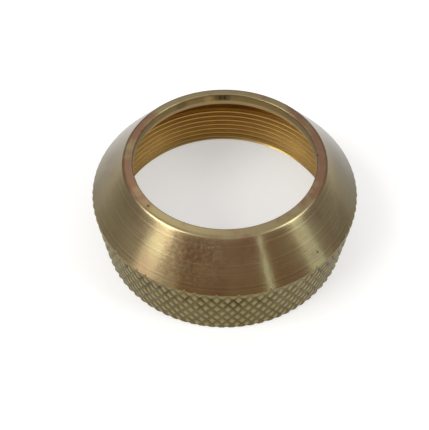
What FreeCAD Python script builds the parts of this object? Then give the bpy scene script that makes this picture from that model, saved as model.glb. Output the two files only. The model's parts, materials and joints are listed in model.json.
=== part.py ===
import FreeCAD, Part
import math
import os

import Sketcher

# Retaining cap of a plasma torch: one ring turned from brass bar. It stands on its large open end
# at Z = 0, with its axis on Z and the small opening at the top. Lengths are in millimetres and
# angles in degrees.

SIZES = [
    ("thread_major_diameter", 47.625, "internal thread, at its roots"),
    ("thread_pitch", 1.27, "20 threads to the inch"),
    ("band_wall", 1.5875, "from the thread's roots to the knurl's crests"),
    ("total_height", 19.4, "open end to rim"),
    ("lip_bore_diameter", 33.5, "small opening"),
    ("rim_width", 1.65, "from the small opening to the cone's sharp corner"),
    ("rim_edge_radius", 0.75, "rounding between the rim and the cone"),
    ("bore_edge_chamfer", 0.15, "between the rim and the small opening"),
    ("cone_half_angle", 45, "outer cone, from the axis"),
    ("cone_wall", 1.4, "wall behind the cone, square to it"),
    ("lip_land_length", 1.5, "straight part of the small opening"),
    ("lip_taper_length", 1.5, "tapered part behind the land"),
    ("lip_taper_step", 0.8, "how much the taper opens, on the radius"),
    ("relief_length", 1.3, "thread run-out groove"),
    ("relief_depth", 0.1, "groove beyond the thread's roots"),
    ("mouth_clearance", 0.25, "lead-in beyond the thread's roots, on the radius"),
    ("knurl_pitch", 1.8143, "round the band, 14 to the inch"),
    ("knurl_angle", 30, "lean of each groove from the axis"),
    ("knurl_depth", 0.4, "crest flats to groove bottoms"),
    ("knurl_groove_angle", 90, "between the two sides of a groove"),
    ("knurl_stock", 0.3, "turned oversize under the knurling tool"),
]

doc = FreeCAD.newDocument("retaining_cap")


def add_sheet():
    """Put every driving size in a spreadsheet cell with an alias."""
    sheet = doc.addObject("Spreadsheet::Sheet", "sizes")
    for row, (alias, value, note) in enumerate(SIZES, start=1):
        sheet.set(f"A{row}", alias)
        sheet.set(f"B{row}", str(value))
        sheet.setAlias(f"B{row}", alias)
        sheet.set(f"C{row}", note)
    doc.recompute()
    return sheet


sheet = add_sheet()


def plane(body, role):
    """Return one of the body's own origin planes."""
    return next(item for item in body.Origin.OriginFeatures if item.Role == role)


# Radii and heights of the section, as formulas in the sheet's cells.
THREAD_ROOT = "(sizes.thread_major_diameter / 2)"
THREAD_CREST = f"({THREAD_ROOT} - 5 * sqrt(3) / 16 * sizes.thread_pitch)"
CREST = f"({THREAD_ROOT} + sizes.band_wall)"
STOCK = f"({CREST} + sizes.knurl_stock)"
LIP_BORE = "(sizes.lip_bore_diameter / 2)"
LIP_BACK = f"({LIP_BORE} + sizes.lip_taper_step)"
RIM_CORNER = f"({LIP_BORE} + sizes.rim_width)"
SLOPE = "tan(sizes.cone_half_angle * 1 deg)"
LAND_END = "(sizes.total_height - sizes.lip_land_length)"
SHOULDER = f"({LAND_END} - sizes.lip_taper_length)"
INNER_RIM = f"({RIM_CORNER} - sizes.cone_wall / cos(sizes.cone_half_angle * 1 deg))"
RELIEF = f"({THREAD_ROOT} + sizes.relief_depth)"
RELIEF_TOP = f"(sizes.total_height - ({RELIEF} - {INNER_RIM}) / {SLOPE})"
THREAD_TOP = f"({RELIEF_TOP} - sizes.relief_length)"
MOUTH = f"({THREAD_ROOT} + sizes.mouth_clearance)"

# Corners of the section: name, radius and height.
SECTION = [
    ("mouth", MOUTH, "0"),
    ("foot", STOCK, "0"),
    ("cone_start", STOCK, f"sizes.total_height - ({STOCK} - {RIM_CORNER}) / {SLOPE}"),
    ("rim_corner", RIM_CORNER, "sizes.total_height"),
    ("bore_corner", LIP_BORE, "sizes.total_height"),
    ("land_end", LIP_BORE, LAND_END),
    ("lip_back", LIP_BACK, SHOULDER),
    ("shoulder_end", f"{INNER_RIM} + (sizes.total_height - {SHOULDER}) * {SLOPE}", SHOULDER),
    ("relief_top", RELIEF, RELIEF_TOP),
    ("relief_end", RELIEF, THREAD_TOP),
    ("thread_top", THREAD_CREST, THREAD_TOP),
    ("lead_in_end", THREAD_CREST, f"{MOUTH} - {THREAD_CREST}"),
]


def size(formula):
    """Work out a formula in the sheet's cells."""
    return float(sheet.evalExpression(formula))


def draw_section(body):
    """Sketch the ring's section on the XZ plane, each corner held by the sheet."""
    sketch = body.newObject("Sketcher::SketchObject", "ring_section")
    sketch.AttachmentSupport = [(plane(body, "XZ_Plane"), "")]
    sketch.MapMode = "FlatFace"
    places = [FreeCAD.Vector(size(radius), size(height), 0) for _, radius, height in SECTION]
    for start, end in zip(places, places[1:] + places[:1]):
        sketch.addGeometry(Part.LineSegment(start, end), False)
    count = len(places)
    for line in range(count):
        sketch.addConstraint(Sketcher.Constraint("Coincident", line, 2, (line + 1) % count, 1))
    for line, (name, radius, height) in enumerate(SECTION):
        across = sketch.addConstraint(
            Sketcher.Constraint("DistanceX", -1, 1, line, 1, places[line].x))
        sketch.renameConstraint(across, f"{name}_radius")
        sketch.setExpression(f"Constraints.{name}_radius", radius)
        if height == "0":
            sketch.addConstraint(Sketcher.Constraint("PointOnObject", line, 1, -1))
            continue
        up = sketch.addConstraint(
            Sketcher.Constraint("DistanceY", -1, 1, line, 1, places[line].y))
        sketch.renameConstraint(up, f"{name}_height")
        sketch.setExpression(f"Constraints.{name}_height", height)
    return sketch


def circle_edge(shape, radius, height):
    """Name the full circular edge at this radius and height."""
    near = 1e-4
    for number, edge in enumerate(shape.Edges, start=1):
        if not isinstance(edge.Curve, Part.Circle):
            continue
        centre = edge.Curve.Center
        if abs(edge.Curve.Radius - radius) < near and abs(centre.z - height) < near:
            return f"Edge{number}"
    raise RuntimeError(f"no circular edge at radius {radius} and height {height}")


def break_edge(body, base, kind, alias, radius, height):
    """Fillet or chamfer one circular edge of the ring by a size from the sheet."""
    feature = body.newObject(f"PartDesign::{kind}", alias)
    feature.Base = (base, [circle_edge(base.Shape, radius, height)])
    feature.setExpression("Radius" if kind == "Fillet" else "Size", f"sizes.{alias}")
    doc.recompute()
    return feature


def turn_blank():
    """Turn the ring from its section and break the rim's two edges."""
    body = doc.addObject("PartDesign::Body", "turned_ring")
    sketch = draw_section(body)
    doc.recompute()
    ring = body.newObject("PartDesign::Revolution", "ring")
    ring.Profile = sketch
    ring.ReferenceAxis = (sketch, ["V_Axis"])
    ring.Angle = 360
    sketch.Visibility = False
    doc.recompute()
    top = size("sizes.total_height")
    rounded = break_edge(body, ring, "Fillet", "rim_edge_radius", size(RIM_CORNER), top)
    body.Tip = break_edge(body, rounded, "Chamfer", "bore_edge_chamfer", size(LIP_BORE), top)
    doc.recompute()
    return body


def ring_point(radius, turn, height):
    """Return the point at this radius, angle in radians and height."""
    return FreeCAD.Vector(radius * math.cos(turn), radius * math.sin(turn), height)


def face_on(corners):
    """Return the flat face bounded by these corners."""
    return Part.Face(Part.makePolygon(corners + corners[:1]))


def knurl_sleeve():
    """Return the sleeve whose inside is the diamond knurl, to be cut from the band.

    Two families of V grooves cross at nodes. Level by level up the band the nodes step half a
    pitch round, and each diamond stands on four of them: one below, one each side and one above.
    """
    crest = size(CREST)
    valley = crest - size("sizes.knurl_depth")
    count = round(2 * math.pi * crest / size("sizes.knurl_pitch"))
    half_step = math.pi / count
    level_height = crest * half_step / math.tan(math.radians(size("sizes.knurl_angle")))
    # The grooves run out where the cone has become smaller than their bottoms.
    cone_start = size("sizes.total_height") - (crest - size(RIM_CORNER)) / size(SLOPE)
    run_out = (crest - valley) / size(SLOPE)
    first = -1
    last = math.ceil((cone_start + run_out) / level_height) + 1
    # The slopes of a diamond would meet above its flat, at this radius.
    half_width = size("sizes.knurl_pitch * cos(sizes.knurl_angle * 1 deg)") / 2
    peak = valley + half_width / math.tan(math.radians(size("sizes.knurl_groove_angle")) / 2)

    def flat_corner(centre, node, outward):
        """Return where the edge from a diamond's peak to a node crosses the crest flat."""
        drop = (peak - crest) / (peak - node.dot(outward))
        return centre + (node - centre) * drop

    faces = []
    rings = {first: [], last: []}
    for level in range(first, last + 1):
        z = level * level_height
        for index in range(count):
            turn = (2 * index + (level + 1) % 2) * half_step
            outward = ring_point(1, turn, 0)
            centre = ring_point(peak, turn, z)
            nodes = {
                "left": ring_point(valley, turn - half_step, z),
                "top": ring_point(valley, turn, z + level_height),
                "right": ring_point(valley, turn + half_step, z),
                "bottom": ring_point(valley, turn, z - level_height),
            }
            corner = {side: flat_corner(centre, node, outward) for side, node in nodes.items()}
            sides = ["left", "top", "right", "bottom"]
            if level == first:
                sides = ["left", "top", "right"]
            if level == last:
                sides = ["right", "bottom", "left"]
            closed = level not in rings
            for a, b in zip(sides, sides[1:] + (sides[:1] if closed else [])):
                faces.append(face_on([nodes[a], nodes[b], corner[b], corner[a]]))
            faces.append(face_on([corner[side] for side in sides]))
            if not closed:
                rings[level] += [nodes["left"], corner["left"], corner["right"]]
    outside = size(STOCK) + crest - valley
    for level, points in rings.items():
        z = level * level_height
        edge = Part.Wire(Part.makeCircle(outside, FreeCAD.Vector(0, 0, z)))
        inner = Part.makePolygon(points + points[:1])
        faces.append(Part.makeFace([edge, inner], "Part::FaceMakerBullseye"))
    low = first * level_height
    wall = Part.makeCylinder(outside, (last - first) * level_height, FreeCAD.Vector(0, 0, low))
    faces.append(next(face for face in wall.Faces if isinstance(face.Surface, Part.Cylinder)))
    shell = Part.makeShell(faces)
    shell.sewShape()
    sleeve = Part.makeSolid(shell if shell.ShapeType == "Shell" else shell.Shells[0])
    if sleeve.Volume < 0:
        sleeve.reverse()
    return sleeve


def cut_knurl(blank):
    """Cut the crossed grooves of the grip into the turned ring."""
    tool = doc.addObject("Part::Feature", "knurl_grooves")
    tool.Shape = knurl_sleeve()
    cap = doc.addObject("Part::Cut", "retaining_cap")
    cap.Label = "retaining_cap"
    cap.Base = blank
    cap.Tool = tool
    doc.recompute()
    return cap


def write_parts(parts):
    """Check every object and each sub-part's solid, then write the STEP files."""
    for item in doc.Objects:
        if "Invalid" in item.State or "Error" in item.State:
            raise RuntimeError(f"{item.Label} failed: {item.State}")
    for part in parts:
        shape = part.Shape
        if shape.isNull() or not shape.isValid() or len(shape.Solids) != 1:
            raise RuntimeError(f"{part.Label} is not one valid solid")
    os.makedirs("parts", exist_ok=True)
    for part in parts:
        part.Shape.exportStep(f"parts/{part.Label}.step")


blank = turn_blank()
cap = cut_knurl(blank)
write_parts([cap])
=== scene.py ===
import json
import math

import bmesh
import bpy
from bpy.props import FloatProperty, FloatVectorProperty, IntProperty, PointerProperty
from mathutils import Matrix, Vector, noise


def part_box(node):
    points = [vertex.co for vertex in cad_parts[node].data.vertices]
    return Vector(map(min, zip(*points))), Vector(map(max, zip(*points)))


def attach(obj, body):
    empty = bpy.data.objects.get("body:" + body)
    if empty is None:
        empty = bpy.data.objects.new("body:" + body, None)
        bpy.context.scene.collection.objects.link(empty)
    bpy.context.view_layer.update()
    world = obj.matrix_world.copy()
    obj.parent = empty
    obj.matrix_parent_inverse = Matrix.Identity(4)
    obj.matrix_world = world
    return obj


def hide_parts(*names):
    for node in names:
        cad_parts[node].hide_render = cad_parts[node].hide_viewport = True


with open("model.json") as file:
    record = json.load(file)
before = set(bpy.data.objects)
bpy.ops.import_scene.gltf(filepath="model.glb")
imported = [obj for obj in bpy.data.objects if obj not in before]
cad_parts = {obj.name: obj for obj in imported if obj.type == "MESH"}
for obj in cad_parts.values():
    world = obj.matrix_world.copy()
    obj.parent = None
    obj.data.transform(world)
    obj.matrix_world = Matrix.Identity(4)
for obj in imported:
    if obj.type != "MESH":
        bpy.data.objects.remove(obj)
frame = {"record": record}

bl_info = {
    "name": "Torch Retaining Cap",
    "version": (1, 0, 0),
    "blender": (4, 5, 0),
    "location": "3D View > Sidebar > Cap",
    "description": "Adds a turned brass retaining cap with a knurled grip, and a studio for it",
    "category": "Add Mesh",
}

# The cap is modelled in millimetres and scaled to metres at the end.
MM = 0.001

# Points nearer than this, in millimetres, count as the same.
SAME = 1e-3

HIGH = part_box("retaining_cap")[1]
MOUNTS = {mount["name"]: mount for mount in frame["record"]["mounts"]}
THREAD = MOUNTS["torch_thread"]
OPENING = MOUNTS["nozzle_opening"]

# Zones of the cap, in the order of its material slots.
CONE, RIM, KNURL, CUT_THREAD, BORED = range(5)

# How uneven the knurl is, each over a size in millimetres: how far its grooves wander, as a share
# of half a pitch, how deep the rolls bit, as a share of the full depth with its spread, and how
# many millimetres are worn off the crests.
WANDER, WANDER_SIZE = 0.2, 3.4
BITE, BITE_SPREAD, BITE_SIZE = 0.85, 0.4, 2.6
WEAR, WEAR_SIZE = 0.07, 1.1

# Next to the cone the grooves run out over this many millimetres, to this share of their depth.
RUN_OUT_LENGTH, RUN_OUT_DEPTH = 1.2, 0.45

# Mesh steps between two crossings of the knurl's grooves, up the cone, and round the thread.
KNURL_STEPS, CONE_STEPS, THREAD_STEPS = 4, 6, 176

# Edges that turn more than this stay crisp, in the thread and in the rest.
THREAD_CORNER, CORNER = math.radians(20), math.radians(50)


def linear(hex_colour):
    """Turn an sRGB hex colour into linear red, green and blue."""
    channels = [int(hex_colour[i:i + 2], 16) / 255 for i in (1, 3, 5)]
    return tuple(c / 12.92 if c <= 0.04045 else ((c + 0.055) / 1.055) ** 2.4 for c in channels)


def length(name, metres, description):
    """Describe a length in metres for a property group."""
    return FloatProperty(name=name, description=description, default=metres, min=0, unit="LENGTH",
                         precision=5)


def colour(name, hex_colour, description):
    """Describe a colour for a property group."""
    return FloatVectorProperty(name=name, description=description, default=linear(hex_colour),
                               size=3, min=0, max=1, subtype="COLOR")


class CapSizes(bpy.types.PropertyGroup):
    """Sizes of the turned ring. The outer ones come from the solid model."""

    band_radius: length("Band radius", HIGH.x, "Over the knurl's crests")
    height: length("Height", HIGH.z, "From the open end to the rim")
    bore_radius: length("Bore radius", OPENING["dims"]["r_mm"] * MM, "Small opening")
    rim_width: length("Rim width", 1.65 * MM, "Flat between the opening and the cone's corner")
    rim_edge: length("Rim edge", 0.31 * MM, "Tangent length of the rounding at the cone's corner")
    bore_edge: length("Bore edge", 0.15 * MM, "Broken edge of the small opening")
    land: length("Land", 1.5 * MM, "Straight part of the small opening")
    taper: length("Taper", 1.5 * MM, "Height of the taper behind the land")
    taper_step: length("Taper step", 0.8 * MM, "How much the taper opens, on the radius")
    wall: length("Cone wall", 1.4 * MM, "Wall behind the cone, square to it")
    relief_radius: length("Relief radius", 23.9125 * MM, "Run-out groove above the thread")


class KnurlSizes(bpy.types.PropertyGroup):
    """Sizes of the diamond knurl."""

    starts: IntProperty(name="Grooves", description="Grooves each way round the band", default=88,
                        min=8)
    lean: FloatProperty(name="Lean", description="Angle of a groove from the axis",
                        default=math.radians(30), subtype="ANGLE")
    depth: length("Depth", 0.4 * MM, "From the crest flats to the groove bottoms")
    groove_angle: FloatProperty(name="Groove angle", description="Between a groove's two sides",
                                default=math.radians(90), subtype="ANGLE")
    foot_edge: length("Foot edge", 0.3 * MM, "Broken edge at the open end")


class ThreadSizes(bpy.types.PropertyGroup):
    """Sizes of the internal thread. The crest radius and the length come from the mount."""

    pitch: length("Pitch", 1.27 * MM, "20 threads to the inch")
    crest_radius: length("Crest radius", THREAD["dims"]["r_mm"] * MM, "Inner radius of the thread")
    top: length("Top", THREAD["pos_m"][2] + THREAD["dims"]["length_mm"] / 2 * MM,
                "Height where the thread ends in the run-out groove")
    mouth: length("Mouth radius", 24.0625 * MM, "Lead-in at the open end")
    edge: length("Edge break", 0.04 * MM, "Broken edge of the thread's crests and roots")


class FinishColours(bpy.types.PropertyGroup):
    """Colours of the brass."""

    clean: colour("Clean brass", "#9C8F6A", "Turned metal with a thin dull film")
    tarnish: colour("Tarnish", "#8C6E56", "Handled metal, a little redder")
    knurl: colour("Knurl", "#6C603A", "Rolled metal of the grip")
    # Crests are lighter from wear and from a painted highlight on the ridges.
    ridge: colour("Ridge", "#8A7C50", "Crests of the knurl, a little brighter")
    dirt: colour("Dirt", "#40351C", "Grime in the grooves")
    # Painted light: the thread is lighter than the outside, to lift the shade inside the cap.
    thread: colour("Thread", "#C3A261", "Metal of the thread, brighter than the outside")
    floor: colour("Floor", "#CFCFCD", "Pale studio floor")


class StudioSizes(bpy.types.PropertyGroup):
    """Camera and lamps, placed from the photograph's view."""

    distance: length("Camera distance", 98.16 * MM, "From the point that the camera looks at")
    elevation: FloatProperty(name="Elevation", description="Camera above the horizon",
                             default=math.radians(53.157), subtype="ANGLE")
    roll: FloatProperty(name="Roll", description="Camera's turn about its own axis",
                        default=math.radians(-0.762), subtype="ANGLE")
    lens: FloatProperty(name="Lens", description="Focal length on a 36 mm sensor", default=38.27,
                        unit="CAMERA")
    floor_size: length("Floor", 4.0, "Side of the floor")
    lamp_distance: length("Lamp distance", 0.6, "From the cap to each lamp")


# Geometry

def new_verts(result):
    """Return the vertices that an extrusion or a copy made."""
    return [item for item in result["geom"] if isinstance(item, bmesh.types.BMVert)]


def extrude_ring(bm, edges):
    """Extrude a closed ring of edges and return its new vertices and edges."""
    result = bmesh.ops.extrude_edge_only(bm, edges=edges)
    verts = new_verts(result)
    made = set(verts)
    ring = [item for item in result["geom"] if isinstance(item, bmesh.types.BMEdge)
            and item.verts[0] in made and item.verts[1] in made]
    return verts, ring


def level_height(sizes, knurl):
    """Return how far up the band the grooves cross again, half a pitch round."""
    return sizes.band_radius / MM * math.pi / knurl.starts / math.tan(knurl.lean)


def cone_radius(sizes, height):
    """Return the radius of the 45 degree cone at a height."""
    corner = (sizes.bore_radius + sizes.rim_width) / MM
    return corner + sizes.height / MM - height


def roll_knurl(bm, sizes, knurl):
    """Press the crossed grooves into the band, and cut its ends to the foot edge and the cone."""
    groove = bm.verts.layers.float["groove"]
    crest = sizes.band_radius / MM
    depth = knurl.depth / MM
    half_step = math.pi / knurl.starts
    level = level_height(sizes, knurl)
    spacing = 2 * crest * half_step * math.cos(knurl.lean)
    share = depth * math.tan(knurl.groove_angle / 2) / spacing
    foot = crest - knurl.foot_edge / MM
    band_top = cone_radius(sizes, 0) - crest
    for vert in bm.verts:
        wander = WANDER * noise.noise(vert.co / WANDER_SIZE)
        across = math.atan2(vert.co.y, vert.co.x) / half_step + wander
        along = vert.co.z / level
        nearest = min(abs(line - round(line)) for line in ((across + along) / 2,
                                                           (across - along) / 2))
        run_out = min(1.0, max(RUN_OUT_DEPTH, (band_top - vert.co.z) / RUN_OUT_LENGTH))
        bite = min(1.0, BITE + BITE_SPREAD * noise.noise(vert.co / BITE_SIZE))
        pressed = max(0.0, 1 - nearest / share) * run_out * bite
        worn = WEAR * (0.5 + 0.5 * noise.noise(vert.co / WEAR_SIZE))
        surface = min(crest, cone_radius(sizes, vert.co.z), foot + vert.co.z)
        radius = min(crest - depth * pressed - worn * (1 - pressed), surface)
        scale = radius / crest
        vert.co.x *= scale
        vert.co.y *= scale
        vert[groove] = min(1.0, (surface - radius) / depth)


def knurled_band(bm, sizes, knurl):
    """Raise the band row by row, so that its edges run along both ways of the knurl."""
    columns = 2 * knurl.starts * KNURL_STEPS
    row = level_height(sizes, knurl) / (2 * KNURL_STEPS)
    bottoms = cone_radius(sizes, 0) - (sizes.band_radius - knurl.depth) / MM
    bmesh.ops.create_circle(bm, segments=columns, radius=sizes.band_radius / MM, cap_ends=False)
    edges = bm.edges[:]
    half_column = Matrix.Rotation(math.pi / columns, 3, "Z")
    for _ in range(math.ceil(bottoms / row)):
        verts, edges = extrude_ring(bm, edges)
        bmesh.ops.rotate(bm, verts=verts, cent=(0, 0, 0), matrix=half_column)
        bmesh.ops.translate(bm, verts=verts, vec=(0, 0, row))
    bmesh.ops.triangulate(bm, faces=bm.faces, quad_method="SHORT_EDGE", ngon_method="BEAUTY")
    roll_knurl(bm, sizes, knurl)
    return edges


def turned_profile(sizes, thread):
    """List the rings above the knurl, from the cone over the rim and down to the thread."""
    top = sizes.height / MM
    bore = sizes.bore_radius / MM
    corner = bore + sizes.rim_width / MM
    # The first ring is clear of the knurl, and rings beside the two edges keep their rounding even.
    above_knurl = 0.7
    beside_bore = 0.3
    beside_rim = 1.3 * sizes.rim_edge / MM
    start = cone_radius(sizes, 0) - (sizes.band_radius / MM) + above_knurl
    rise = top - beside_rim - start
    cone = [start + rise * step / CONE_STEPS for step in range(CONE_STEPS + 1)]
    rings = [(cone_radius(sizes, height), height) for height in cone]
    rings += [(corner, top), (corner - beside_rim, top), (bore + beside_bore, top), (bore, top)]
    land_end = top - sizes.land / MM
    shoulder = land_end - sizes.taper / MM
    back = bore + sizes.taper_step / MM
    inner = corner - sizes.wall / MM * math.sqrt(2)
    relief = sizes.relief_radius / MM
    rings += [(bore, top - beside_bore), (bore, land_end), (back, shoulder),
              (inner + top - shoulder, shoulder), (relief, top - relief + inner),
              (relief, thread.top / MM)]
    return rings


def turn_rings(bm, edges, rings):
    """Carry a ring of edges through a list of radii and heights, and return the last ring."""
    for radius, height in rings:
        verts, edges = extrude_ring(bm, edges)
        scale = radius / math.hypot(verts[0].co.x, verts[0].co.y)
        bmesh.ops.scale(bm, vec=(scale, scale, 1), verts=verts)
        bmesh.ops.translate(bm, verts=verts, vec=(0, 0, height - verts[0].co.z))
    return edges


def ring_at(bm, radius, height):
    """Return the edges of the circle at this radius and height."""
    def on_it(vert):
        return (abs(vert.co.z - height) < SAME
                and abs(math.hypot(vert.co.x, vert.co.y) - radius) < SAME)
    return [edge for edge in bm.edges if on_it(edge.verts[0]) and on_it(edge.verts[1])]


def break_edges(bm, sizes):
    """Round the rim's corner with the cone and break the edge of the small opening."""
    top = sizes.height / MM
    bore = sizes.bore_radius / MM
    corner = bore + sizes.rim_width / MM
    for radius, offset, segments in ((corner, sizes.rim_edge / MM, 6),
                                     (bore, sizes.bore_edge / MM, 3)):
        bmesh.ops.bevel(bm, geom=ring_at(bm, radius, top), offset=offset, offset_type="OFFSET",
                        segments=segments, profile=0.5, affect="EDGES", material=-1)


def thread_profile(sizes, thread):
    """List one pitch of the thread's section, from the middle of a root to the next.

    It is a 60 degree thread whose roots are flat over an eighth of the pitch and whose crests are
    flat over a quarter of it.
    """
    pitch = thread.pitch / MM
    edge = thread.edge / MM
    crest = thread.crest_radius / MM
    root = crest + 5 * math.sqrt(3) / 16 * pitch
    back = edge * math.cos(math.radians(30))
    lower = [(root, 0), (root, pitch / 16 - edge), (root - back, pitch / 16 + edge / 2),
             (crest + back, 6 * pitch / 16 - edge / 2), (crest, 6 * pitch / 16 + edge)]
    upper = [(radius, pitch - height) for radius, height in reversed(lower)]
    return lower + upper


def cut_thread(sizes, thread):
    """Sweep the thread's section up a right-handed helix and cut it to its length."""
    bm = bmesh.new()
    pitch = thread.pitch / MM
    top = thread.top / MM
    # The helix starts more than a turn below the foot, so that the cut there is whole.
    start = -1.3 * pitch
    verts = [bm.verts.new((radius, 0, height + start))
             for radius, height in thread_profile(sizes, thread)]
    edges = [bm.edges.new(pair) for pair in zip(verts, verts[1:])]
    bmesh.ops.spin(bm, geom=verts + edges, cent=(0, 0, 0), axis=(0, 0, 1),
                   dvec=(0, 0, pitch / THREAD_STEPS), angle=2 * math.pi, steps=THREAD_STEPS,
                   use_merge=False, use_normal_flip=False, use_duplicate=False)
    turn = bm.verts[:] + bm.edges[:] + bm.faces[:]
    for number in range(1, math.ceil((top - start) / pitch)):
        copy = bmesh.ops.duplicate(bm, geom=turn)
        bmesh.ops.translate(bm, verts=new_verts(copy), vec=(0, 0, pitch * number))
    bmesh.ops.remove_doubles(bm, verts=bm.verts, dist=SAME)
    for height, side in ((0, "clear_inner"), (top, "clear_outer")):
        bmesh.ops.bisect_plane(bm, geom=bm.verts[:] + bm.edges[:] + bm.faces[:], dist=1e-4,
                               plane_co=(0, 0, height), plane_no=(0, 0, 1), **{side: True})
    mouth = thread.mouth / MM
    for vert in bm.verts:
        radius = math.hypot(vert.co.x, vert.co.y)
        opened = max(radius, mouth - vert.co.z)
        vert.co.x *= opened / radius
        vert.co.y *= opened / radius
    return bm


def close_flat(bm, height, reach):
    """Fill the flat ring between the two open loops at a height."""
    edges = [edge for edge in bm.edges if edge.is_boundary
             and all(abs(vert.co.z - height) < SAME for vert in edge.verts)]
    bmesh.ops.triangle_fill(bm, use_beauty=True, use_dissolve=False, edges=edges,
                            normal=(0, 0, reach))


def zone(face, sizes, thread):
    """Say which cut made a face, from the place of its middle."""
    centre = face.calc_center_median()
    radius = math.hypot(centre.x, centre.y)
    top = sizes.height / MM
    rim_corner = (sizes.bore_radius + sizes.rim_width) / MM
    outside_thread = (thread.mouth / MM) + 0.5
    knurl_top = cone_radius(sizes, 0) - sizes.band_radius / MM + 0.6
    rounding_start = rim_corner - 0.6
    rounding_end = rim_corner + 0.25
    skin = 0.02
    if centre.z < SAME:
        return RIM
    if radius > outside_thread and centre.z < knurl_top:
        on_cone = all(abs(math.hypot(vert.co.x, vert.co.y) - cone_radius(sizes, vert.co.z)) < SAME
                      for vert in face.verts)
        return CONE if on_cone else KNURL
    if radius > rounding_start and radius > cone_radius(sizes, centre.z) - skin:
        return CONE if radius > rounding_end else RIM
    if centre.z > top - sizes.bore_edge / MM * 1.2:
        return RIM
    if centre.z < thread.top / MM + SAME:
        return CUT_THREAD
    return BORED


def mark_edges(bm):
    """Keep corners and the thread's cuts crisp and let the knurl's pressed edges stay soft."""
    for face in bm.faces:
        face.smooth = True
    for edge in bm.edges:
        zones = {face.material_index for face in edge.link_faces}
        corner = edge.calc_face_angle(0) > (THREAD_CORNER if zones == {CUT_THREAD} else CORNER)
        edge.smooth = not (corner or zones == {CONE, KNURL} or zones == {KNURL, RIM})


def check_closed(bm):
    """Stop if the cap has an open edge."""
    open_edges = [edge for edge in bm.edges if len(edge.link_faces) != 2]
    if open_edges:
        places = [tuple(round(c, 3) for c in edge.verts[0].co) for edge in open_edges[:4]]
        raise RuntimeError(f"the cap has {len(open_edges)} open edges, near {places}")


def cap_mesh(sizes, knurl, thread):
    """Model the whole cap as one closed mesh."""
    bm = bmesh.new()
    bm.verts.layers.float.new("groove")
    edges = knurled_band(bm, sizes, knurl)
    turn_rings(bm, edges, turned_profile(sizes, thread))
    break_edges(bm, sizes)
    helix = cut_thread(sizes, thread)
    inner = bpy.data.meshes.new("thread")
    helix.to_mesh(inner)
    helix.free()
    bm.from_mesh(inner)
    bpy.data.meshes.remove(inner)
    close_flat(bm, thread.top / MM, -1)
    close_flat(bm, 0, -1)
    bmesh.ops.recalc_face_normals(bm, faces=bm.faces)
    check_closed(bm)
    for face in bm.faces:
        face.material_index = zone(face, sizes, thread)
    mark_edges(bm)
    bmesh.ops.scale(bm, vec=(MM, MM, MM), verts=bm.verts)
    mesh = bpy.data.meshes.new("turned_cap")
    bm.to_mesh(mesh)
    bm.free()
    return mesh


# Materials

def add_node(tree, kind, settings=None, values=None, links=None):
    """Add a node, set its settings and its inputs' values, and link its other inputs."""
    node = tree.nodes.new(kind)
    for name, value in (settings or {}).items():
        setattr(node, name, value)
    for socket, value in (values or {}).items():
        node.inputs[socket].default_value = value
    for socket, source in (links or {}).items():
        tree.links.new(source, node.inputs[socket])
    return node


def new_material(name):
    """Make an empty node material and return it with its tree."""
    material = bpy.data.materials.new(name)
    material.use_nodes = True
    material.node_tree.nodes.clear()
    return material, material.node_tree


def opaque(rgb):
    """Add a full alpha to a colour."""
    return (*rgb, 1)


# Middle of the worn patch on the cone, and the small marks of the cone, the rim and the land. Each
# mark is its place in millimetres, its radius in millimetres, and how much lighter or darker it is.
WORN_PATCH = (-5.7, -20.6, 16.4)
CONE_MARKS = [((-4.1, -19.4, 18.0), 0.22, 1.0), ((-3.5, -19.5, 18.05), 0.2, 1.0),
              ((-2.9, -19.5, 18.1), 0.2, 0.9), ((-2.3, -19.5, 18.15), 0.2, 0.8),
              ((-6.5, -22.7, 14.2), 0.25, 0.7), ((-5.3, -23.0, 14.15), 0.25, 0.6),
              ((15.2, -18.1, 14.2), 0.3, -1.2)]
RIM_MARKS = [((-13.0, -11.9, 19.4), 0.35, -1.2), ((-15.6, 6.3, 19.4), 0.25, -1.2),
             ((16.9, -0.7, 19.4), 0.25, -1.2), ((14.5, -9.1, 19.4), 0.6, 0.7)]
LAND_MARKS = [((-0.9, 16.73, 18.6), 1.1, -0.5), ((0, 16.75, 18.5), 1.1, -0.5),
              ((0.9, 16.73, 18.6), 1.1, -0.5), ((-8.4, 14.5, 18.5), 1.6, -0.35),
              ((-3.0, 16.48, 18.6), 1.2, 0.5)]


def near_place(tree, coords, place, outer, inner):
    """Return a mask that rises from 0 at the outer distance from a place to 1 at the inner."""
    centre = tuple(value * MM for value in place)
    away = add_node(tree, "ShaderNodeVectorMath", {"operation": "DISTANCE"}, {1: centre},
                    {0: coords}).outputs["Value"]
    return add_node(tree, "ShaderNodeMapRange", {"interpolation_type": "SMOOTHSTEP"},
                    {"From Min": outer, "From Max": inner}, {"Value": away}).outputs[0]


def small_marks(tree, coords, marks):
    """Add up the small marks, lighter ones above 0 and darker ones below."""
    total = None
    for place, radius, strength in marks:
        mask = near_place(tree, coords, place, radius * MM, radius * MM * 0.4)
        values = {1: strength} if total else {1: strength, 2: 0}
        links = {0: mask, 2: total} if total else {0: mask}
        total = add_node(tree, "ShaderNodeMath", {"operation": "MULTIPLY_ADD"}, values,
                         links).outputs[0]
    return total


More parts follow.
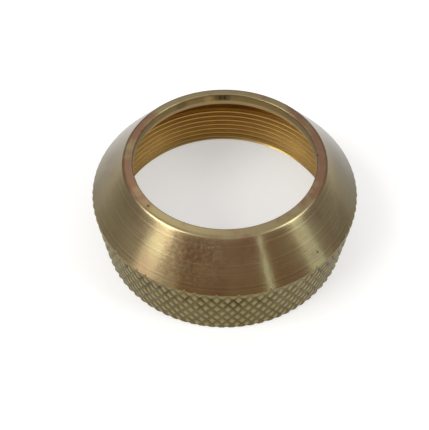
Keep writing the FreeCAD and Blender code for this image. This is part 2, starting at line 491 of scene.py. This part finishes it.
def turned_cone_finish(colours):
    """Lathe-turned brass: fine circular tool lines stretch each reflection up the cone."""
    material, tree = new_material("turned brass cone")
    coords = add_node(tree, "ShaderNodeTexCoord").outputs["Object"]
    flat = add_node(tree, "ShaderNodeVectorMath", {"operation": "MULTIPLY"}, {1: (1, 1, 0)},
                    {0: coords}).outputs[0]
    radius = add_node(tree, "ShaderNodeVectorMath", {"operation": "LENGTH"},
                      links={0: flat}).outputs["Value"]
    # Tool lines 0.27 mm apart, as wide as the photograph can show them.
    lines = add_node(tree, "ShaderNodeTexNoise", {"noise_dimensions": "1D"},
                     {"Scale": 1 / (0.27 * MM), "Detail": 2}, {"W": radius}).outputs[0]
    # Handling marks, 6 mm across, most of them on the side where the worn patch is.
    stain = add_node(tree, "ShaderNodeTexNoise", values={"Scale": 1 / (6 * MM), "Detail": 5,
                                                        "Roughness": 0.6},
                     links={"Vector": coords}).outputs[0]
    handled = near_place(tree, coords, WORN_PATCH, 17 * MM, 5 * MM)
    more = add_node(tree, "ShaderNodeMath", {"operation": "MULTIPLY_ADD"}, {1: 0.1},
                    {0: handled, 2: stain}).outputs[0]
    # Dents like orange peel in the worn patch, 0.6 mm across, redder in their bottoms.
    peel = add_node(tree, "ShaderNodeTexNoise", values={"Scale": 1 / (0.6 * MM), "Detail": 1},
                    links={"Vector": coords}).outputs[0]
    spotted = add_node(tree, "ShaderNodeMapRange", {"interpolation_type": "SMOOTHSTEP"},
                       {"From Min": 0.34, "From Max": 0.66, "To Min": -1, "To Max": 1},
                       {"Value": peel}).outputs[0]
    worn = near_place(tree, coords, WORN_PATCH, 8 * MM, 0.5 * MM)
    dented = add_node(tree, "ShaderNodeMath", {"operation": "MULTIPLY"},
                      links={0: spotted, 1: worn})
    redder = add_node(tree, "ShaderNodeMath", {"operation": "MULTIPLY_ADD"}, {1: -0.08},
                      {0: dented.outputs[0], 2: more}).outputs[0]
    stained = add_node(tree, "ShaderNodeMapRange", {"interpolation_type": "SMOOTHSTEP"},
                       {"From Min": 0.45, "From Max": 0.8, "To Max": 0.7},
                       {"Value": redder}).outputs[0]
    film = add_node(tree, "ShaderNodeMix", {"data_type": "RGBA"},
                    {6: opaque(colours.clean), 7: opaque(colours.tarnish)},
                    {0: stained}).outputs[2]
    marks = small_marks(tree, coords, CONE_MARKS)
    # Painted shade: the cone is darker at its two sides and behind.
    axes = add_node(tree, "ShaderNodeSeparateXYZ", links={0: coords}).outputs
    across = add_node(tree, "ShaderNodeMath", {"operation": "ABSOLUTE"}, links={0: axes[0]})
    behind = add_node(tree, "ShaderNodeMath", {"operation": "MULTIPLY_ADD"}, {1: 0.5},
                      {0: axes[1], 2: across.outputs[0]}).outputs[0]
    side_stain_and_shade = add_node(tree, "ShaderNodeMapRange", {"interpolation_type": "SMOOTHSTEP"},
                    {"From Min": 13 * MM, "From Max": 23.5 * MM, "To Min": 1, "To Max": 0.52},
                    {"Value": behind}).outputs[0]
    # Painted shade: the right side is a little darker still.
    right = add_node(tree, "ShaderNodeMapRange", {"interpolation_type": "SMOOTHSTEP"},
                     {"From Min": 18 * MM, "From Max": 21 * MM, "To Min": 1, "To Max": 0.74},
                     {"Value": axes[0]}).outputs[0]
    sides = add_node(tree, "ShaderNodeMath", {"operation": "MULTIPLY"},
                     links={0: side_stain_and_shade, 1: right}).outputs[0]
    turned = add_node(tree, "ShaderNodeMapRange",
                      values={"From Min": 0.3, "From Max": 0.7, "To Min": 0.95, "To Max": 1.05},
                      links={"Value": lines}).outputs[0]
    shade = add_node(tree, "ShaderNodeMath", {"operation": "MULTIPLY"},
                     links={0: turned, 1: sides}).outputs[0]
    # The dents, the tool lines and the painted shade at the sides set how bright the film is.
    dull = add_node(tree, "ShaderNodeMath", {"operation": "MULTIPLY_ADD"}, {1: 0.1},
                    {0: dented.outputs[0], 2: shade}).outputs[0]
    marked = add_node(tree, "ShaderNodeMath", {"operation": "MULTIPLY_ADD"}, {1: 0.5},
                      {0: marks, 2: dull}).outputs[0]
    base = add_node(tree, "ShaderNodeVectorMath", {"operation": "SCALE"},
                    links={0: film, "Scale": marked}).outputs[0]
    roughness = add_node(tree, "ShaderNodeMapRange", values={"To Min": 0.16, "To Max": 0.25},
                         links={"Value": lines}).outputs[0]
    ripple = add_node(tree, "ShaderNodeTexNoise", values={"Scale": 1 / (1.3 * MM), "Detail": 3},
                      links={"Vector": coords}).outputs[0]
    rippled = add_node(tree, "ShaderNodeBump", values={"Strength": 0.35, "Distance": 0.02 * MM},
                       links={"Height": ripple}).outputs[0]
    pitted = add_node(tree, "ShaderNodeBump", values={"Strength": 0.4, "Distance": 0.005 * MM},
                      links={"Height": dented.outputs[0], "Normal": rippled}).outputs[0]
    cut = add_node(tree, "ShaderNodeBump", values={"Strength": 0.4, "Distance": 0.006 * MM},
                   links={"Height": lines, "Normal": pitted}).outputs[0]
    around = add_node(tree, "ShaderNodeTangent",
                      {"direction_type": "RADIAL", "axis": "Z"}).outputs[0]
    shader = add_node(tree, "ShaderNodeBsdfPrincipled",
                      values={"Metallic": 1, "Anisotropic": 0.6, "Anisotropic Rotation": 0.25},
                      links={"Base Color": base, "Roughness": roughness, "Normal": cut,
                             "Tangent": around})
    add_node(tree, "ShaderNodeOutputMaterial", links={"Surface": shader.outputs[0]})
    return material


def faced_rim_finish(colours):
    """Faced brass: a smooth flat with dull, slightly red stains and a few small marks."""
    material, tree = new_material("faced brass rim")
    coords = add_node(tree, "ShaderNodeTexCoord").outputs["Object"]
    stain = add_node(tree, "ShaderNodeTexNoise", values={"Scale": 1 / (3 * MM), "Detail": 4},
                     links={"Vector": coords}).outputs[0]
    # The rim is reddest at its two sides.
    sides = add_node(tree, "ShaderNodeSeparateXYZ", links={0: coords}).outputs[0]
    across = add_node(tree, "ShaderNodeMath", {"operation": "ABSOLUTE"},
                      links={0: sides}).outputs[0]
    side_stain_and_shade = add_node(tree, "ShaderNodeMapRange", {"interpolation_type": "SMOOTHSTEP"},
                    {"From Min": 11 * MM, "From Max": 16.5 * MM, "To Max": 0.25},
                    {"Value": across}).outputs[0]
    more = add_node(tree, "ShaderNodeMath", {"operation": "ADD"}, links={0: stain, 1: side_stain_and_shade})
    stained = add_node(tree, "ShaderNodeMapRange", {"interpolation_type": "SMOOTHSTEP"},
                       {"From Min": 0.45, "From Max": 0.8}, {"Value": more.outputs[0]}).outputs[0]
    film = add_node(tree, "ShaderNodeMix", {"data_type": "RGBA"},
                    {6: opaque(colours.clean), 7: opaque(colours.tarnish)},
                    {0: stained}).outputs[2]
    marks = small_marks(tree, coords, RIM_MARKS)
    marked = add_node(tree, "ShaderNodeMath", {"operation": "MULTIPLY_ADD"}, {1: 0.5, 2: 1},
                      {0: marks}).outputs[0]
    base = add_node(tree, "ShaderNodeVectorMath", {"operation": "SCALE"},
                    links={0: film, "Scale": marked}).outputs[0]
    shader = add_node(tree, "ShaderNodeBsdfPrincipled", values={"Metallic": 1, "Roughness": 0.28},
                      links={"Base Color": base})
    add_node(tree, "ShaderNodeOutputMaterial", links={"Surface": shader.outputs[0]})
    return material


def rolled_knurl_finish(colours):
    """Rolled brass: dull pressed metal, its crests brighter from wear and a painted highlight,
    grime left in the grooves and painted shade towards the cone.
    """
    material, tree = new_material("rolled brass knurl")
    coords = add_node(tree, "ShaderNodeTexCoord").outputs["Object"]
    groove = add_node(tree, "ShaderNodeAttribute",
                      {"attribute_type": "GEOMETRY", "attribute_name": "groove"}).outputs["Fac"]
    # Grime comes and goes over a few diamonds.
    patch = add_node(tree, "ShaderNodeTexNoise", values={"Scale": 1 / (2.2 * MM), "Detail": 4},
                     links={"Vector": coords}).outputs[0]
    amount = add_node(tree, "ShaderNodeMapRange", values={"From Min": 0.36, "From Max": 0.64,
                                                          "To Min": 0, "To Max": 0.85},
                      links={"Value": patch}).outputs[0]
    # Painted shade: the grime is multiplied up towards the cone, so the knurl is darker there and
    # lighter at the low rows.
    height = add_node(tree, "ShaderNodeSeparateXYZ", links={0: coords}).outputs[2]
    upper = add_node(tree, "ShaderNodeMapRange", {"interpolation_type": "SMOOTHSTEP"},
                     {"From Min": 6 * MM, "From Max": 11.5 * MM, "To Min": 0.5, "To Max": 1.6},
                     {"Value": height}).outputs[0]
    left = add_node(tree, "ShaderNodeMath", {"operation": "MULTIPLY", "use_clamp": True},
                    links={0: amount, 1: upper}).outputs[0]
    deep = add_node(tree, "ShaderNodeMapRange", {"interpolation_type": "SMOOTHSTEP"},
                    {"From Min": 0.25, "From Max": 1}, {"Value": groove}).outputs[0]
    grime_and_painted_shade = add_node(tree, "ShaderNodeMath", {"operation": "MULTIPLY"}, links={0: deep, 1: left})
    # Crests lighter than the sides: wear, and a painted highlight on the ridges.
    worn_crest_and_highlight = add_node(tree, "ShaderNodeMapRange", {"interpolation_type": "SMOOTHSTEP"},
                      {"From Min": 0.35, "From Max": 0.02}, {"Value": groove}).outputs[0]
    metal = add_node(tree, "ShaderNodeMix", {"data_type": "RGBA"},
                     {6: opaque(colours.knurl), 7: opaque(colours.ridge)}, {0: worn_crest_and_highlight}).outputs[2]
    base = add_node(tree, "ShaderNodeMix", {"data_type": "RGBA"}, {7: opaque(colours.dirt)},
                    {0: grime_and_painted_shade.outputs[0], 6: metal}).outputs[2]
    roughness = add_node(tree, "ShaderNodeMapRange", values={"To Min": 0.42, "To Max": 0.6},
                         links={"Value": grime_and_painted_shade.outputs[0]}).outputs[0]
    shader = add_node(tree, "ShaderNodeBsdfPrincipled", values={"Metallic": 1},
                      links={"Base Color": base, "Roughness": roughness})
    add_node(tree, "ShaderNodeOutputMaterial", links={"Surface": shader.outputs[0]})
    return material


def cut_thread_finish(colours):
    """Thread cut with a single point: bright metal, painted lighter to lift the shade inside, a
    little stained.
    """
    material, tree = new_material("cut brass thread")
    coords = add_node(tree, "ShaderNodeTexCoord").outputs["Object"]
    stain = add_node(tree, "ShaderNodeTexNoise", values={"Scale": 1 / (3 * MM), "Detail": 5},
                     links={"Vector": coords}).outputs[0]
    stained = add_node(tree, "ShaderNodeMapRange", values={"From Min": 0.3, "From Max": 0.8,
                                                           "To Max": 0.25},
                       links={"Value": stain}).outputs[0]
    film = add_node(tree, "ShaderNodeMix", {"data_type": "RGBA"},
                    {6: opaque(colours.thread), 7: opaque(colours.tarnish)},
                    {0: stained}).outputs[2]
    # Painted shade: the turns get darker towards the open end.
    height = add_node(tree, "ShaderNodeSeparateXYZ", links={0: coords}).outputs[2]
    low_turns_painted_shade = add_node(tree, "ShaderNodeMapRange", {"interpolation_type": "SMOOTHSTEP"},
                    {"From Min": 0, "From Max": 5 * MM, "To Min": 0.68, "To Max": 1},
                    {"Value": height}).outputs[0]
    base = add_node(tree, "ShaderNodeVectorMath", {"operation": "SCALE"},
                    links={0: film, "Scale": low_turns_painted_shade}).outputs[0]
    shader = add_node(tree, "ShaderNodeBsdfPrincipled", values={"Metallic": 1, "Roughness": 0.33},
                      links={"Base Color": base})
    add_node(tree, "ShaderNodeOutputMaterial", links={"Surface": shader.outputs[0]})
    return material


def bored_finish(colours):
    """Bored brass: the land and the inside behind the lip, duller than the cone."""
    material, tree = new_material("bored brass")
    coords = add_node(tree, "ShaderNodeTexCoord").outputs["Object"]
    stain = add_node(tree, "ShaderNodeTexNoise", values={"Scale": 1 / (2 * MM), "Detail": 4},
                     links={"Vector": coords}).outputs[0]
    film = add_node(tree, "ShaderNodeMix", {"data_type": "RGBA"},
                    {6: opaque(colours.clean), 7: opaque(colours.thread)},
                    {0: stain}).outputs[2]
    marks = small_marks(tree, coords, LAND_MARKS)
    # Painted light: the metal is lighter from the taper behind the land down, lifting the shade
    # under the lip.
    height = add_node(tree, "ShaderNodeSeparateXYZ", links={0: coords}).outputs[2]
    clean = add_node(tree, "ShaderNodeMapRange", {"interpolation_type": "SMOOTHSTEP"},
                     {"From Min": 17.7 * MM, "From Max": 18 * MM, "To Min": 1.0, "To Max": 0.64},
                     {"Value": height}).outputs[0]
    marked = add_node(tree, "ShaderNodeMath", {"operation": "MULTIPLY_ADD"}, {1: 0.5},
                      {0: marks, 2: clean}).outputs[0]
    base = add_node(tree, "ShaderNodeVectorMath", {"operation": "SCALE"},
                    links={0: film, "Scale": marked}).outputs[0]
    shader = add_node(tree, "ShaderNodeBsdfPrincipled", values={"Metallic": 1, "Roughness": 0.5},
                      links={"Base Color": base})
    add_node(tree, "ShaderNodeOutputMaterial", links={"Surface": shader.outputs[0]})
    return material


def floor_finish(colours):
    """Matt pale board, lifted to white where it is seen, so that a soft shadow stays on it."""
    material, tree = new_material("matt pale board")
    path = add_node(tree, "ShaderNodeLightPath").outputs
    seen = path["Is Camera Ray"]
    for ray in ("Is Glossy Ray", "Is Transmission Ray"):
        seen = add_node(tree, "ShaderNodeMath", {"operation": "MAXIMUM"},
                        links={0: seen, 1: path[ray]}).outputs[0]
    lift = add_node(tree, "ShaderNodeMath", {"operation": "MULTIPLY"}, {1: 0.42}, {0: seen})
    glow = add_node(tree, "ShaderNodeEmission", links={"Strength": lift.outputs[0]})
    diffuse = add_node(tree, "ShaderNodeBsdfDiffuse", values={"Color": opaque(colours.floor)})
    both = add_node(tree, "ShaderNodeAddShader", links={0: diffuse.outputs[0], 1: glow.outputs[0]})
    add_node(tree, "ShaderNodeOutputMaterial", links={"Surface": both.outputs[0]})
    return material


def room_light(scene):
    """Light the world: a cool pale room behind and above, a dim warm one behind the camera."""
    world = bpy.data.worlds.new("studio room")
    world.use_nodes = True
    tree = world.node_tree
    tree.nodes.clear()
    direction = add_node(tree, "ShaderNodeTexCoord").outputs["Generated"]
    axes = add_node(tree, "ShaderNodeSeparateXYZ", links={0: direction}).outputs
    front = add_node(tree, "ShaderNodeMapRange", {"interpolation_type": "SMOOTHSTEP"},
                     {"From Min": -0.8, "From Max": -0.1}, {"Value": axes[1]}).outputs[0]
    room = add_node(tree, "ShaderNodeMix", {"data_type": "RGBA"},
                    {6: (0.30, 0.17, 0.11, 1), 7: (0.38, 0.35, 0.36, 1)}, {0: front}).outputs[2]
    up = add_node(tree, "ShaderNodeMapRange", {"interpolation_type": "SMOOTHSTEP"},
                  {"From Min": 0.4, "From Max": 0.75}, {"Value": axes[2]}).outputs[0]
    sky = add_node(tree, "ShaderNodeMix", {"data_type": "RGBA"}, {7: (0.80, 0.77, 0.78, 1)},
                   {0: up, 6: room}).outputs[2]
    light = add_node(tree, "ShaderNodeBackground", links={"Color": sky})
    add_node(tree, "ShaderNodeOutputWorld", links={"Surface": light.outputs[0]})
    scene.world = world


# Lamps: name, azimuth and elevation in degrees, width and height in metres, radiance and tint.
LAMPS = [
    ("left_softbox", 218, 20, 0.34, 0.24, 0.45, (0.94, 1.0, 0.99)),
    ("left_softbox_core", 211.5, 19, 0.13, 0.22, 1.1, (0.94, 1.0, 0.97)),
    ("left_window", 202, 42, 0.33, 0.24, 7.2, (0.97, 1.0, 1.0)),
    ("strip_lamp", 301.5, 26, 0.018, 0.26, 3.0, (0.72, 0.95, 1.0)),
    ("right_softbox", 337, 17, 0.12, 0.20, 0.75, (0.74, 1.0, 1.0)),
    ("right_window", 343, 40, 0.19, 0.24, 6.4, (0.9, 1.0, 1.0)),
    ("back_lamp", 99.5, 53, 0.08, 0.07, 2.7, (1.0, 0.97, 0.85)),
]


def add_lamp(scene, studio, name, azimuth, elevation, width, height, radiance, tint):
    """Hang a rectangular lamp that faces the cap."""
    turn = math.radians(azimuth)
    lift = math.radians(elevation)
    out = Vector((math.cos(turn) * math.cos(lift), math.sin(turn) * math.cos(lift),
                  math.sin(lift)))
    data = bpy.data.lights.new(name, "AREA")
    data.shape = "RECTANGLE"
    data.size = width
    data.size_y = height
    data.energy = math.pi * width * height * radiance
    data.color = tint
    lamp = bpy.data.objects.new(name, data)
    lamp.location = out * studio.lamp_distance
    lamp.rotation_mode = "QUATERNION"
    lamp.rotation_quaternion = out.to_track_quat("Z", "Y")
    scene.collection.objects.link(lamp)


def add_camera(scene, studio):
    """Place the camera at the photograph's view."""
    target = Vector((-1.977, 0, 0.777)) * MM
    data = bpy.data.cameras.new("photo_view")
    data.sensor_width = 36
    data.lens = studio.lens
    data.clip_start = 0.001
    turned = (Matrix.Rotation(math.pi / 2 - studio.elevation, 4, "X")
              @ Matrix.Rotation(studio.roll, 4, "Z"))
    camera = bpy.data.objects.new("photo_view", data)
    camera.matrix_world = (Matrix.Translation(target) @ turned
                           @ Matrix.Translation((0, 0, studio.distance)))
    scene.collection.objects.link(camera)
    scene.camera = camera


# Operators

class OBJECT_OT_turned_cap(bpy.types.Operator):
    """Add the turned brass retaining cap"""

    bl_idname = "object.turned_cap"
    bl_label = "Retaining Cap"

    def execute(self, context):
        scene = context.scene
        mesh = cap_mesh(scene.cap_sizes, scene.cap_knurl, scene.cap_thread)
        cap = bpy.data.objects.new("turned_cap", mesh)
        scene.collection.objects.link(cap)
        for finish in (turned_cone_finish, faced_rim_finish, rolled_knurl_finish,
                       cut_thread_finish, bored_finish):
            mesh.materials.append(finish(scene.cap_colours))
        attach(cap, "root")
        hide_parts("retaining_cap")
        return {"FINISHED"}


class OBJECT_OT_cap_studio(bpy.types.Operator):
    """Add the floor, the lamps, the room and the camera"""

    bl_idname = "object.cap_studio"
    bl_label = "Studio"

    def execute(self, context):
        scene = context.scene
        studio = scene.cap_studio
        bm = bmesh.new()
        bmesh.ops.create_grid(bm, x_segments=1, y_segments=1, size=studio.floor_size / 2)
        mesh = bpy.data.meshes.new("floor")
        bm.to_mesh(mesh)
        bm.free()
        mesh.materials.append(floor_finish(scene.cap_colours))
        floor = bpy.data.objects.new("floor", mesh)
        scene.collection.objects.link(floor)
        for lamp in LAMPS:
            add_lamp(scene, studio, *lamp)
        room_light(scene)
        add_camera(scene, studio)
        scene.view_settings.view_transform = "Standard"
        return {"FINISHED"}


class VIEW3D_PT_torch_cap(bpy.types.Panel):
    """Sizes, colours and buttons of the cap"""

    bl_label = "Retaining Cap"
    bl_idname = "VIEW3D_PT_torch_cap"
    bl_space_type = "VIEW_3D"
    bl_region_type = "UI"
    bl_category = "Cap"

    def draw(self, context):
        scene = context.scene
        for group in (scene.cap_sizes, scene.cap_knurl, scene.cap_thread, scene.cap_colours,
                      scene.cap_studio):
            column = self.layout.column(align=True)
            for name in group.bl_rna.properties.keys():
                if name not in ("rna_type", "name"):
                    column.prop(group, name)
        self.layout.operator(OBJECT_OT_turned_cap.bl_idname)
        self.layout.operator(OBJECT_OT_cap_studio.bl_idname)


GROUPS = {
    "cap_sizes": CapSizes,
    "cap_knurl": KnurlSizes,
    "cap_thread": ThreadSizes,
    "cap_colours": FinishColours,
    "cap_studio": StudioSizes,
}
CLASSES = (*GROUPS.values(), OBJECT_OT_turned_cap, OBJECT_OT_cap_studio, VIEW3D_PT_torch_cap)


def register():
    """Register the classes and put the settings on the scene."""
    for cls in CLASSES:
        bpy.utils.register_class(cls)
    for name, group in GROUPS.items():
        setattr(bpy.types.Scene, name, PointerProperty(type=group))


def unregister():
    """Take the settings and the classes away again."""
    for name in GROUPS:
        delattr(bpy.types.Scene, name)
    for cls in reversed(CLASSES):
        bpy.utils.unregister_class(cls)


def main():
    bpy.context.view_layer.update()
    register()
    bpy.ops.object.turned_cap()
    bpy.ops.object.cap_studio()
    bpy.context.view_layer.update()


if __name__ == "__main__":
    main()
